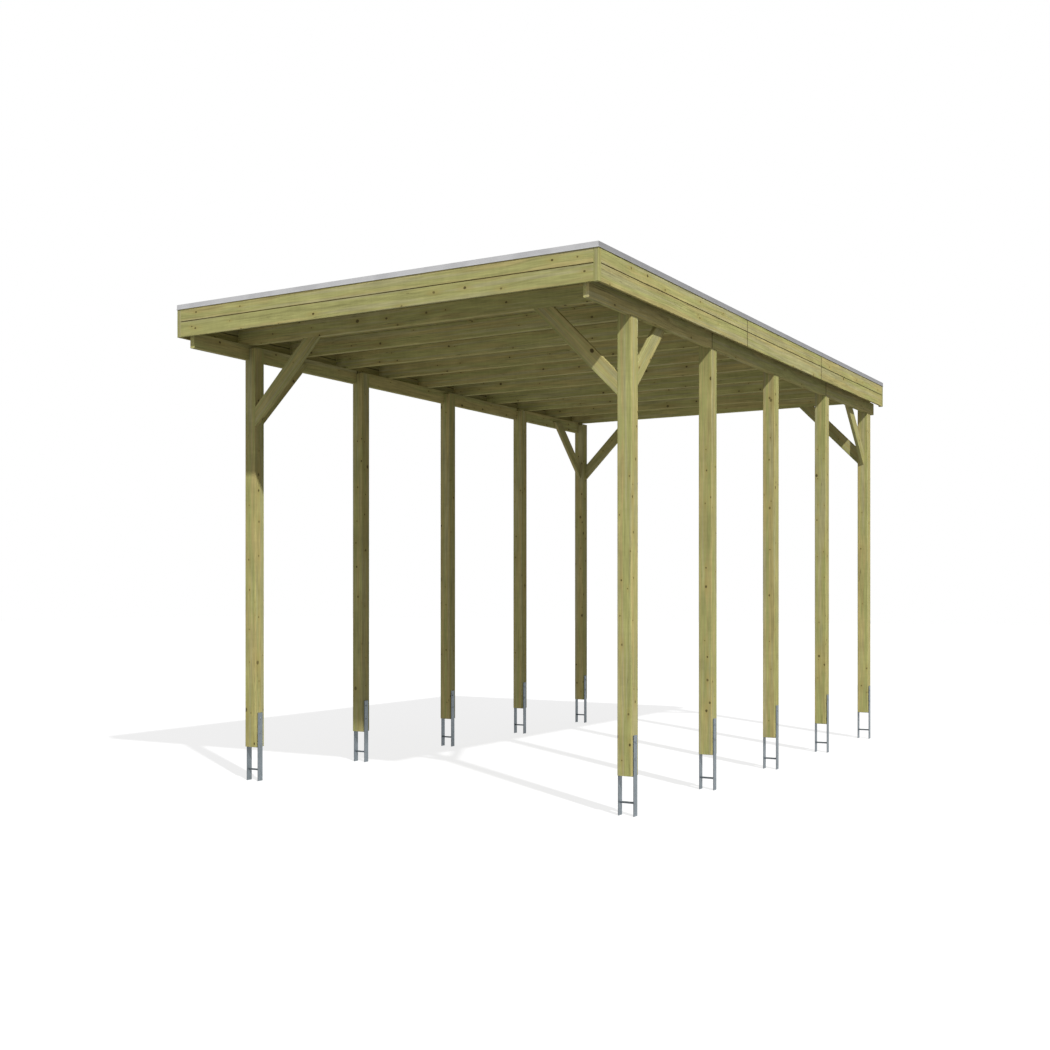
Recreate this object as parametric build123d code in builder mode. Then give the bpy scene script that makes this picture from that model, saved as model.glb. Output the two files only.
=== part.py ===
from build123d import *
import math
import os

# Flat-roofed open carport of squared, planed timber.
# Two rows of posts stand in steel H-shaped anchors, and are notched for the purlins they carry.
# Rafters lie across the purlins, with braces at the corner posts and a sunk roof inside a two-board fascia.
# Millimetres. X across the bay, Y from front to rear, Z up. The origin is under the middle of the roof,
# level with the lower ends of the anchors.

# Roof size
ROOF_WIDTH = 3970
ROOF_LENGTH = 7080
SIDE_OVERHANG = 100
FRONT_OVERHANG = 715
REAR_OVERHANG = 150

# Posts
POST_SIDE = 115
POST_LENGTH = 3500
POSTS_PER_ROW = 5
NOTCH_DEPTH = 100

# Purlins, in lengths that butt over every second post, a little behind its front face.
# They start behind the roof's front edge and end level with the rear fascia's inner face
PURLIN_WIDTH = 45
PURLIN_HEIGHT = 130
PURLIN_FRONT_SETBACK = 50
PURLIN_JOINT_BEARING = 15

# Rafters. The one at the rear end is shallower than the rest and doesn't reach down to the purlins
RAFTER_WIDTH = 45
RAFTER_HEIGHT = 145
REAR_END_RAFTER_HEIGHT = 95
RAFTERS_OVER_POSTS = 10

# Braces at the corner posts
BRACE_THICKNESS = 35
BRACE_WIDTH = 122
BRACE_ANGLE = 45
BRACE_FOOT_BELOW_NOTCH = 500
LONG_BRACE_LAP = 65

# Fascia: two boards high, between square corner battens, but at the rear it is the upper board alone.
# The side boards come in three lengths
FASCIA_THICKNESS = 20
LOWER_BOARD_HEIGHT = 126
UPPER_BOARD_HEIGHT = 141
BOARD_GROOVE = 3
FASCIA_DROP = 38
CORNER_BATTEN = 40
SIDE_FRONT_BOARD_LENGTH = 2765
SIDE_MIDDLE_BOARD_LENGTH = 2038
BOARD_END_GAP = 1

# Roof deck and covering. The covering turns up against battens that stand on the deck behind the fascia
DECK_THICKNESS = 19
COVERING_THICKNESS = 3

# Sheet trim over the top edge of the fascia
TRIM_SHEET = 2
TRIM_OUTER_LEG = 39
TRIM_INNER_LEG = 25
TRIM_DRIP_HEIGHT = 8
TRIM_DRIP_REACH = 4
TRIM_MITRE_GAP = 0.5

# Steel anchors under the posts
ANCHOR_BELOW_POST = 300
ANCHOR_BESIDE_POST = 300
ANCHOR_PLATE_WIDTH = 60
ANCHOR_PLATE_THICKNESS = 5
ANCHOR_SIDE_CLEARANCE = 3
ANCHOR_SEAT_THICKNESS = 5
ANCHOR_RUNG_RADIUS = 8
ANCHOR_RUNG_HEIGHT = 98
ANCHOR_HOLE_RADIUS = 5.5
ANCHOR_TOP_HOLE_DROP = 52
ANCHOR_HOLE_SPACING = 128

# Planed timber has its long edges eased
EASED_EDGE = 3
EASED_BOARD_EDGE = 1.5

# Places worked out from the sizes above
ROW_HALF = ROOF_WIDTH / 2 - SIDE_OVERHANG
POST_LINE = ROW_HALF - POST_SIDE / 2
INNER_FACE = ROW_HALF - POST_SIDE
ROOF_FRONT = -ROOF_LENGTH / 2
ROOF_REAR = ROOF_LENGTH / 2
ROW_FRONT = ROOF_FRONT + FRONT_OVERHANG
ROW_REAR = ROOF_REAR - REAR_OVERHANG
POST_SPACING = (ROW_REAR - ROW_FRONT - POST_SIDE) / (POSTS_PER_ROW - 1)
POST_PLACES = [ROW_FRONT + POST_SIDE / 2 + n * POST_SPACING for n in range(POSTS_PER_ROW)]

ANCHOR_LENGTH = ANCHOR_BELOW_POST + ANCHOR_BESIDE_POST
ANCHOR_CLEAR_WIDTH = POST_SIDE + 2 * ANCHOR_SIDE_CLEARANCE
UPPER_HOLE_LEVEL = ANCHOR_LENGTH - ANCHOR_TOP_HOLE_DROP
LOWER_HOLE_LEVEL = UPPER_HOLE_LEVEL - ANCHOR_HOLE_SPACING

POST_BOTTOM = ANCHOR_BELOW_POST
POST_TOP = POST_BOTTOM + POST_LENGTH
PURLIN_BOTTOM = POST_TOP - NOTCH_DEPTH
PURLIN_TOP = PURLIN_BOTTOM + PURLIN_HEIGHT
BRACE_FOOT = PURLIN_BOTTOM - BRACE_FOOT_BELOW_NOTCH
RAFTER_TOP = PURLIN_TOP + RAFTER_HEIGHT
DECK_TOP = RAFTER_TOP + DECK_THICKNESS
FASCIA_BOTTOM = PURLIN_TOP - FASCIA_DROP
UPPER_BOARD_BOTTOM = FASCIA_BOTTOM + LOWER_BOARD_HEIGHT + BOARD_GROOVE
FASCIA_TOP = UPPER_BOARD_BOTTOM + UPPER_BOARD_HEIGHT
TRIM_PROJECTION = TRIM_SHEET + TRIM_DRIP_REACH

SIDES = {"left": -1, "right": 1}
ENDS = {"front": -1, "rear": 1}

os.makedirs("parts", exist_ok=True)


def save(part, name):
    """Labels a finished piece and writes its STEP file."""
    part.label = name
    export_step(part, f"parts/{name}.step")


def bar_along_y(x, y_start, z, width, height, length):
    """A bar with eased edges, centred on x and z, that runs towards the rear from y_start."""
    with BuildPart() as bar:
        with BuildSketch(Plane(origin=(x, y_start, z), x_dir=(1, 0, 0), z_dir=(0, 1, 0))) as section:
            Rectangle(width, height)
            chamfer(section.vertices(), EASED_EDGE)
        extrude(amount=length)
    return bar.part


def bar_along_x(y, z, width, height, length):
    """A bar with eased edges that runs across the bay, centred on it."""
    with BuildPart() as bar:
        with BuildSketch(Plane(origin=(0, y, z), x_dir=(0, 1, 0), z_dir=(1, 0, 0))) as section:
            Rectangle(width, height)
            chamfer(section.vertices(), EASED_EDGE)
        extrude(amount=length / 2, both=True)
    return bar.part


def post(side, y):
    """A square post with the outer part of its head cut away for the purlin."""
    with BuildPart() as body:
        with BuildSketch(Plane.XY.offset(POST_BOTTOM)) as section:
            with Locations((side * POST_LINE, y)):
                Rectangle(POST_SIDE, POST_SIDE)
            chamfer(section.vertices(), EASED_EDGE)
        extrude(amount=POST_LENGTH)
        with BuildSketch(Plane.XY.offset(PURLIN_BOTTOM)):
            with Locations((side * (ROW_HALF - PURLIN_WIDTH / 2), y)):
                Rectangle(PURLIN_WIDTH, POST_SIDE)
        extrude(amount=NOTCH_DEPTH, mode=Mode.SUBTRACT)
    return body.part


def anchors(side):
    """The row's H-shaped anchors: two drilled plates each, joined by a seat and a lower rung."""
    plate_offset = (ANCHOR_CLEAR_WIDTH + ANCHOR_PLATE_THICKNESS) / 2
    places = [(side * POST_LINE, y) for y in POST_PLACES]
    hole_places = [(y, level) for y in POST_PLACES for level in (LOWER_HOLE_LEVEL, UPPER_HOLE_LEVEL)]
    with BuildPart() as row:
        with BuildSketch(Plane.XY):
            with Locations(*places):
                with GridLocations(2 * plate_offset, 0, 2, 1):
                    Rectangle(ANCHOR_PLATE_THICKNESS, ANCHOR_PLATE_WIDTH)
        extrude(amount=ANCHOR_LENGTH)
        with BuildSketch(Plane.XY.offset(POST_BOTTOM - ANCHOR_SEAT_THICKNESS)):
            with Locations(*places):
                Rectangle(ANCHOR_CLEAR_WIDTH, ANCHOR_PLATE_WIDTH)
        extrude(amount=ANCHOR_SEAT_THICKNESS)
        with BuildSketch(Plane.YZ.offset(side * POST_LINE)):
            with Locations(*[(y, ANCHOR_RUNG_HEIGHT) for y in POST_PLACES]):
                Circle(ANCHOR_RUNG_RADIUS)
        extrude(amount=ANCHOR_CLEAR_WIDTH / 2, both=True)
        with BuildSketch(Plane.YZ.offset(side * POST_LINE)):
            with Locations(*hole_places):
                Circle(ANCHOR_HOLE_RADIUS)
        extrude(amount=ANCHOR_CLEAR_WIDTH, both=True, mode=Mode.SUBTRACT)
    return row.part


def brace(foot, direction, thickness_direction, keep_planes):
    """A diagonal bar through foot, run on past its ends and then cut off by the planes it stands against."""
    with BuildPart() as bar:
        with BuildSketch(Plane(origin=foot, x_dir=thickness_direction, z_dir=direction)) as section:
            Rectangle(BRACE_THICKNESS, BRACE_WIDTH)
            chamfer(section.vertices(), EASED_EDGE)
        extrude(amount=POST_LENGTH, both=True)
        for plane in keep_planes:
            split(bisect_by=plane, keep=Keep.TOP)
    return bar.part


def cross_brace(side, end):
    """The brace across the bay, flush with the row's end, from the post's inner face up under the rafter."""
    row_end = ROW_FRONT if end < 0 else ROW_REAR
    angle = math.radians(BRACE_ANGLE)
    foot = Vector(side * INNER_FACE, row_end - end * BRACE_THICKNESS / 2, BRACE_FOOT)
    direction = Vector(-side * math.cos(angle), 0, math.sin(angle))
    post_face = Plane(origin=foot, z_dir=(-side, 0, 0))
    rafter_face = Plane(origin=(0, 0, PURLIN_TOP), z_dir=(0, 0, -1))
    return brace(foot, direction, (0, 1, 0), (post_face, rafter_face))


def long_brace(side, end):
    """The brace along the row, from the post up beside the purlin's inner face."""
    post_edge = ROW_FRONT + POST_SIDE if end < 0 else ROW_REAR - POST_SIDE
    angle = math.radians(BRACE_ANGLE)
    x = side * (ROW_HALF - PURLIN_WIDTH - BRACE_THICKNESS / 2)
    foot = Vector(x, post_edge, BRACE_FOOT)
    direction = Vector(0, -end * math.cos(angle), math.sin(angle))
    post_face = Plane(origin=foot, z_dir=(0, -end, 0))
    top_cut = Plane(origin=(0, 0, PURLIN_BOTTOM + LONG_BRACE_LAP), z_dir=(0, 0, -1))
    return brace(foot, direction, (1, 0, 0), (post_face, top_cut))


def fascia_section(has_lower_board=True):
    """The boards' cross-section, to be drawn from the fascia's lower edge upwards."""
    boards = [(UPPER_BOARD_BOTTOM - FASCIA_BOTTOM, UPPER_BOARD_HEIGHT)]
    if has_lower_board:
        boards.append((0, LOWER_BOARD_HEIGHT))
    with BuildSketch() as section:
        for bottom, height in boards:
            with Locations((0, bottom + height / 2)):
                Rectangle(FASCIA_THICKNESS, height)
        chamfer(section.vertices(), EASED_BOARD_EDGE)
    return section.sketch


def end_fascia(end):
    """The two boards across the front, or the upper one across the rear, between the corner battens."""
    y = end * (ROOF_LENGTH / 2 - FASCIA_THICKNESS / 2)
    with BuildPart() as boards:
        with BuildSketch(Plane(origin=(0, y, FASCIA_BOTTOM), x_dir=(0, 1, 0), z_dir=(1, 0, 0))):
            add(fascia_section(has_lower_board=end < 0))
        extrude(amount=ROOF_WIDTH / 2 - CORNER_BATTEN, both=True)
    return boards.part


def side_fascia(side):
    """The boards along one side, in three lengths that butt with a fine gap."""
    x = side * (ROOF_WIDTH / 2 - FASCIA_THICKNESS / 2)
    front_start = ROOF_FRONT + CORNER_BATTEN
    middle_start = front_start + SIDE_FRONT_BOARD_LENGTH + BOARD_END_GAP
    rear_start = middle_start + SIDE_MIDDLE_BOARD_LENGTH + BOARD_END_GAP
    runs = (
        (front_start, middle_start - BOARD_END_GAP),
        (middle_start, rear_start - BOARD_END_GAP),
        (rear_start, ROOF_REAR - CORNER_BATTEN),
    )
    with BuildPart() as boards:
        for start, finish in runs:
            with BuildSketch(Plane(origin=(x, finish, FASCIA_BOTTOM), x_dir=(1, 0, 0), z_dir=(0, -1, 0))):
                add(fascia_section())
            extrude(amount=finish - start)
    return boards.part


def inside_fascia():
    """The space between the fascia boards, less the corner battens."""
    with BuildSketch() as outline:
        Rectangle(ROOF_WIDTH - 2 * FASCIA_THICKNESS, ROOF_LENGTH - 2 * FASCIA_THICKNESS)
        with GridLocations(ROOF_WIDTH - CORNER_BATTEN, ROOF_LENGTH - CORNER_BATTEN, 2, 2):
            Rectangle(CORNER_BATTEN, CORNER_BATTEN, mode=Mode.SUBTRACT)
    return outline.sketch


def inside_battens():
    """The sunk roof between the upstand battens."""
    with BuildSketch() as outline:
        Rectangle(ROOF_WIDTH - 2 * CORNER_BATTEN, ROOF_LENGTH - 2 * CORNER_BATTEN)
    return outline.sketch


def trim_section():
    """The trim's bent sheet. The origin is on the fascia's outer face at its top edge, +X outwards."""
    inside = CORNER_BATTEN + COVERING_THICKNESS
    bend = TRIM_DRIP_HEIGHT - TRIM_OUTER_LEG
    with BuildSketch() as section:
        with BuildLine():
            Polyline(
                (TRIM_SHEET, TRIM_SHEET),
                (TRIM_SHEET, bend),
                (TRIM_PROJECTION, -TRIM_OUTER_LEG),
                (TRIM_DRIP_REACH, -TRIM_OUTER_LEG),
                (0, bend),
                (0, 0),
                (-inside, 0),
                (-inside, -TRIM_INNER_LEG),
                (-inside - TRIM_SHEET, -TRIM_INNER_LEG),
                (-inside - TRIM_SHEET, TRIM_SHEET),
                close=True,
            )
        make_face()
    return section.sketch


def trim_length(outward, half_run, half_reach):
    """One mitred length of trim on the side that faces outward."""
    along = Vector(0, 0, 1).cross(outward)
    origin = outward * half_reach + Vector(0, 0, FASCIA_TOP)
    with BuildPart() as length:
        with BuildSketch(Plane(origin=origin, x_dir=outward, z_dir=-along)):
            add(trim_section())
        extrude(amount=half_run + TRIM_PROJECTION, both=True)
        for turn in (-1, 1):
            corner = origin + along * turn * (half_run - TRIM_MITRE_GAP)
            split(bisect_by=Plane(origin=corner, z_dir=outward - along * turn), keep=Keep.TOP)
    return length.part


for side_name, side in SIDES.items():
    for number, y in enumerate(POST_PLACES, start=1):
        save(post(side, y), f"{side_name}_post_{number}")
    save(anchors(side), f"{side_name}_row_anchors")

    purlin_joints = [y - POST_SIDE / 2 + PURLIN_JOINT_BEARING for y in POST_PLACES[1:-1:2]]
    purlin_ends = [ROOF_FRONT + PURLIN_FRONT_SETBACK, *purlin_joints, ROOF_REAR - FASCIA_THICKNESS]
    for number, (start, finish) in enumerate(zip(purlin_ends, purlin_ends[1:]), start=1):
        purlin = bar_along_y(side * (ROW_HALF - PURLIN_WIDTH / 2), start, PURLIN_BOTTOM + PURLIN_HEIGHT / 2,
                             PURLIN_WIDTH, PURLIN_HEIGHT, finish - start)
        save(purlin, f"{side_name}_purlin_{number}")

    for end_name, end in ENDS.items():
        save(cross_brace(side, end), f"{side_name}_{end_name}_cross_brace")
        save(long_brace(side, end), f"{side_name}_{end_name}_long_brace")

    save(side_fascia(side), f"{side_name}_fascia")

rafter_first = ROW_FRONT + RAFTER_WIDTH / 2
rafter_spacing = (ROW_REAR - ROW_FRONT - RAFTER_WIDTH) / (RAFTERS_OVER_POSTS - 1)
for number in range(RAFTERS_OVER_POSTS):
    rafter = bar_along_x(rafter_first + number * rafter_spacing, RAFTER_TOP - RAFTER_HEIGHT / 2,
                         RAFTER_WIDTH, RAFTER_HEIGHT, ROOF_WIDTH - 2 * FASCIA_THICKNESS)
    save(rafter, f"rafter_{number + 1}")

with BuildPart() as end_rafters:
    for end, height in zip(ENDS.values(), (RAFTER_HEIGHT, REAR_END_RAFTER_HEIGHT)):
        y = end * (ROOF_LENGTH / 2 - FASCIA_THICKNESS - RAFTER_WIDTH / 2)
        add(bar_along_x(y, RAFTER_TOP - height / 2, RAFTER_WIDTH, height, ROOF_WIDTH - 2 * CORNER_BATTEN))
save(end_rafters.part, "end_rafters")

for end_name, end in ENDS.items():
    save(end_fascia(end), f"{end_name}_fascia")

with BuildPart() as corner_battens:
    with BuildSketch(Plane.XY.offset(FASCIA_BOTTOM)) as batten_section:
        with GridLocations(ROOF_WIDTH - CORNER_BATTEN, ROOF_LENGTH - CORNER_BATTEN, 2, 2):
            Rectangle(CORNER_BATTEN, CORNER_BATTEN)
        chamfer(batten_section.vertices(), EASED_BOARD_EDGE)
    extrude(amount=FASCIA_TOP - FASCIA_BOTTOM)
save(corner_battens.part, "corner_battens")

with BuildPart() as roof_deck:
    with BuildSketch(Plane.XY.offset(RAFTER_TOP)):
        add(inside_fascia())
    extrude(amount=DECK_THICKNESS)
save(roof_deck.part, "roof_deck")

with BuildPart() as upstand_battens:
    with BuildSketch(Plane.XY.offset(DECK_TOP)):
        add(inside_fascia())
        add(inside_battens(), mode=Mode.SUBTRACT)
    extrude(amount=FASCIA_TOP - DECK_TOP)
save(upstand_battens.part, "upstand_battens")

with BuildPart() as roof_covering:
    with BuildSketch(Plane.XY.offset(DECK_TOP)):
        add(inside_battens())
    extrude(amount=FASCIA_TOP - DECK_TOP)
    with BuildSketch(Plane.XY.offset(DECK_TOP + COVERING_THICKNESS)):
        add(inside_battens())
        offset(amount=-COVERING_THICKNESS, kind=Kind.INTERSECTION, mode=Mode.REPLACE)
    extrude(amount=FASCIA_TOP - DECK_TOP, mode=Mode.SUBTRACT)
save(roof_covering.part, "roof_covering")

with BuildPart() as edge_trim:
    for sign in ENDS.values():
        add(trim_length(Vector(sign, 0, 0), ROOF_LENGTH / 2, ROOF_WIDTH / 2))
        add(trim_length(Vector(0, sign, 0), ROOF_WIDTH / 2, ROOF_LENGTH / 2))
save(edge_trim.part, "edge_trim")
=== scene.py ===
"""Looks of the flat-roofed timber carport: its finishes, roof boards, screws, floor, light and camera."""

import logging
import math
from collections.abc import Callable
from dataclasses import dataclass, replace
from enum import Enum
from functools import cache, partial, reduce

import bmesh
import bpy
from mathutils import Matrix, Vector

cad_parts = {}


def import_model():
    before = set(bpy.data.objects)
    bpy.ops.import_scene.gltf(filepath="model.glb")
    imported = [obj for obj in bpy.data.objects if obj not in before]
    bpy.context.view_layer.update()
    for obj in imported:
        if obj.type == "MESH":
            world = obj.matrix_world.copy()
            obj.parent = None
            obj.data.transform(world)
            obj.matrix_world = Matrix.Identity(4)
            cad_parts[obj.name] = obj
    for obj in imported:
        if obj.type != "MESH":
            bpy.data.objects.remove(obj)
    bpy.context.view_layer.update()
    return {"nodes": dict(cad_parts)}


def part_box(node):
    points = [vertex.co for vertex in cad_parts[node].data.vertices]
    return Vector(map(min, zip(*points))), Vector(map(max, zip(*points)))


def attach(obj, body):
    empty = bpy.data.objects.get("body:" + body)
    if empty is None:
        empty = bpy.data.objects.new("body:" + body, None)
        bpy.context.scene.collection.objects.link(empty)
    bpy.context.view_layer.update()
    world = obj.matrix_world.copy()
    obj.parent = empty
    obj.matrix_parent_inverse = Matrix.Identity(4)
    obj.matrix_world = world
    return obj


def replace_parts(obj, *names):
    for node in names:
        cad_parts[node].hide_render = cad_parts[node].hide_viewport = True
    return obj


LOG = logging.getLogger("carport")

Shape = bmesh.types.BMesh
Corner = bmesh.types.BMVert
Edge = bmesh.types.BMEdge
Material = bpy.types.Material
Piece = bpy.types.Object
Node = bpy.types.Node
Socket = bpy.types.NodeSocket
Feed = Socket | float | tuple[float, ...]
Pair = tuple[float, float]
Triple = tuple[float, float, float]
Colour = Triple

TINY = 1e-6  # metres, less than any real gap between two corners
WIDE_CELL = 5.0  # metres, the width of a cell that holds a whole row of members
ROOF_CELL = 3.75 - WIDE_CELL / 2  # where such a cell starts if its middle is at the roof's height
ENDLESS = 1000.0  # metres, longer than any member, so that nothing is repeated along the grain
CELLS_BEFORE = 20  # cells counted before the first board or rafter, so that no place lies below zero


class Grain(Enum):
    """The way a member's grain runs: the grain direction, then the first direction across it."""

    ACROSS = ((1.0, 0.0, 0.0), (0.0, 1.0, 0.0))
    ACROSS_ON_EDGE = ((1.0, 0.0, 0.0), (0.0, 0.0, 1.0))
    LENGTHWISE = ((0.0, 1.0, 0.0), (0.0, 0.0, 1.0))
    UPRIGHT = ((0.0, 0.0, 1.0), (1.0, 0.0, 0.0))
    RISING_TO_RIGHT = ((1.0, 0.0, 1.0), (1.0, 0.0, -1.0))
    RISING_TO_LEFT = ((-1.0, 0.0, 1.0), (1.0, 0.0, 1.0))
    RISING_TO_REAR = ((0.0, 1.0, 1.0), (1.0, 0.0, 0.0))
    RISING_TO_FRONT = ((0.0, -1.0, 1.0), (1.0, 0.0, 0.0))

    def turn(self) -> Triple:
        """Gives the Euler angles, in radians, that bring the grain to the third axis."""
        along, across = (Vector(v).normalized() for v in self.value)
        return tuple(Matrix((across, along.cross(across), along)).to_euler("XYZ"))


@dataclass(frozen=True)
class Pattern:
    """A noise: its features a metre, for all axes or for each, and its finer layers.

    It swings a tone about 1, or it comes up from least to most while it runs between two values.
    """

    per_metre: float | Triple
    detail: float = 2.0
    roughness: float = 0.5
    swing: float = 0.0
    between: Pair = (0.0, 1.0)
    least: float = 0.0
    most: float = 1.0


class Graph:
    """Adds and joins the nodes of a node tree."""

    def __init__(self, tree: bpy.types.NodeTree) -> None:
        """Empties the tree."""
        self.tree = tree
        self.tree.nodes.clear()

    def add(self, kind: str, *feeds: Feed | None, **values: object) -> Node:
        """Adds a node, sets its properties and feeds its first inputs.

        Args:
            kind: the node's type without its ShaderNode prefix.
            feeds: what the inputs get, in their order, or None for one that is left alone.
            values: properties of the node.

        Returns:
            The new node.
        """
        node = self.tree.nodes.new("ShaderNode" + kind)
        for name, value in values.items():
            setattr(node, name, value)
        for socket, value in zip(node.inputs, feeds):
            if value is not None:
                self.feed(socket, value)
        return node

    def feed(self, target: Socket, value: Feed) -> None:
        """Sets a socket from a number or colour, or joins it to another socket.

        Args:
            target: the socket that is fed.
            value: what it gets.
        """
        if isinstance(value, Socket):
            self.tree.links.new(value, target)
        elif target.type == "RGBA" and len(value) == 3:
            target.default_value = (*value, 1.0)
        else:
            target.default_value = value

    def math(self, operation: str, *values: Feed, clamp: bool = False) -> Socket:
        """Works out a number, held between 0 and 1 if clamp is set."""
        return self.add("Math", *values, operation=operation, use_clamp=clamp).outputs[0]

    def chain(self, operation: str, *values: Feed) -> Feed:
        """Works any number of values together one by one, as for a sum or for the largest."""
        return reduce(partial(self.math, operation), values)

    def times(self, *values: Feed) -> Socket:
        """Multiplies numbers."""
        return self.chain("MULTIPLY", *values)

    def scaled(self, value: Feed, factor: Feed, start: Feed, clamp: bool = False) -> Socket:
        """Multiplies a number by a factor and adds a start."""
        return self.math("MULTIPLY_ADD", value, factor, start, clamp=clamp)

    def gap(self, value: Feed, middle: float) -> Socket:
        """Gives how far a number is from a middle."""
        return self.math("ABSOLUTE", self.math("SUBTRACT", value, middle))

    def vector(self, operation: str, *values: Feed) -> Socket:
        """Works out a vector, or the number where the operation gives one."""
        node = self.add("VectorMath", *values, operation=operation)
        return node.outputs["Value" if operation in ("LENGTH", "DOT_PRODUCT") else "Vector"]

    def spread(self, chance: Socket, size: Triple) -> Socket:
        """Spreads three numbers between 0 and 1 evenly about zero, over a size."""
        return self.vector("MULTIPLY", self.vector("SUBTRACT", chance, (0.5, 0.5, 0.5)), size)

    def split(self, value: Socket) -> tuple[Socket, Socket, Socket]:
        """Splits a vector into its three numbers."""
        return tuple(self.add("SeparateXYZ", value).outputs)

    def join(self, x: Feed, y: Feed, z: Feed = 0.0) -> Socket:
        """Joins three numbers into a vector."""
        return self.add("CombineXYZ", x, y, z).outputs[0]

    def pick(self, choice: Feed, no: Feed, yes: Feed) -> Socket:
        """Mixes two numbers: no where choice is 0, yes where it is 1."""
        return self.add("Mix", choice, None, no, yes, data_type="FLOAT").outputs[0]

    def blend(self, amount: Feed, first: Feed, second: Feed, kind: str = "MIX") -> Socket:
        """Lays an amount of a second colour over a first one."""
        unused = (None,) * 5
        return self.add("Mix", amount, *unused, first, second, data_type="RGBA", blend_type=kind).outputs[2]

    def shaded(self, colour: Feed, tone: Socket) -> Socket:
        """Multiplies a colour by a tone."""
        return self.blend(1.0, colour, self.join(tone, tone, tone), "MULTIPLY")

    def ease(self, value: Feed, low: float, high: float, start: float = 0.0, end: float = 1.0) -> Socket:
        """Runs smoothly from start to end while a value runs from low to high."""
        return self.add("MapRange", value, low, high, start, end, interpolation_type="SMOOTHSTEP").outputs[0]


class Coating(Graph):
    """The nodes of one material, whose shader is a Principled BSDF."""

    def __init__(self, name: str) -> None:
        """Starts a material.

        Args:
            name: the material's name.
        """
        self.material = bpy.data.materials.new(name)
        self.material.use_nodes = True
        super().__init__(self.material.node_tree)
        self.shader = self.add("BsdfPrincipled")
        self.add("OutputMaterial", self.shader.outputs[0])
        coordinates = self.add("TexCoord").outputs
        self.place = coordinates["Object"]
        self.normal = coordinates["Normal"]

    def noise(self, pattern: Pattern, place: Socket | None = None, output: str = "Fac") -> Socket:
        """Adds a noise, along a line if the place is a single number.

        Args:
            pattern: the noise.
            place: the place where it is read, or None for the place on the piece.
            output: Fac for one number, Color for three.

        Returns:
            The noise.
        """
        place = self.place if place is None else place
        scale = pattern.per_metre
        if isinstance(scale, tuple):
            place, scale = self.vector("MULTIPLY", place, scale), 1.0
        single = place.type == "VALUE"
        node = self.add("TexNoise", noise_dimensions="1D" if single else "3D")
        self.feed(node.inputs["W" if single else "Vector"], place)
        for name, value in (("Scale", scale), ("Detail", pattern.detail), ("Roughness", pattern.roughness)):
            node.inputs[name].default_value = value
        return node.outputs[output]

    def shown(self, pattern: Pattern, place: Socket | None = None) -> Socket:
        """Adds a noise that comes up between two values."""
        return self.ease(self.noise(pattern, place), *pattern.between, pattern.least, pattern.most)

    def scatter(self, place: Socket, kind: str, scale: float, randomness: float) -> Node:
        """Adds cells round scattered points.

        Args:
            place: the place where they are read.
            kind: the pattern's dimensions.
            scale: how many cells there are a metre.
            randomness: how far the points stray, up to 1.

        Returns:
            The node, with its Color and Position outputs.
        """
        node = self.add("TexVoronoi", place, None, scale, voronoi_dimensions=kind, feature="F1")
        node.inputs["Randomness"].default_value = randomness
        return node

    def bump(self, height: Socket, distance: float, strength: float) -> None:
        """Raises the surface by a height pattern.

        Args:
            height: the pattern, from 0 to 1.
            distance: how far a full step stands up, in metres.
            strength: the share of it that shows.
        """
        node = self.add("Bump", strength, distance)
        self.feed(node.inputs["Height"], height)
        self.set(Normal=node.outputs[0])

    def set(self, **values: Feed) -> None:
        """Feeds the shader's sockets, named with _ for a space."""
        for name, value in values.items():
            self.feed(self.shader.inputs[name.replace("_", " ")], value)


@dataclass(frozen=True)
class Knots:
    """How knots of one kind are spread over a face, at most one to a cell, in metres."""

    cell: Pair
    least: float
    more: float
    share: float
    dark: float
    fading: float = 0.34
    randomness: float = 0.85
    ragged: Pattern = Pattern(130.0, 1.0)
    raggedness: float = 0.6
    rim: Pair = (1.15, 0.65)
    squash: float = 0.8
    halo_squash: float = 0.30
    halo_reach: float = 2.1
    push: float = 0.7


FEW_KNOTS = (
    Knots(cell=(0.070, 0.26), least=0.0046, more=0.0068, share=0.24, dark=0.95),
    Knots(cell=(0.150, 0.60), least=0.0090, more=0.0080, share=0.30, dark=0.97),
)
MANY_KNOTS = tuple(replace(knots, share=share) for knots, share in zip(FEW_KNOTS, (0.48, 0.52)))


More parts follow.
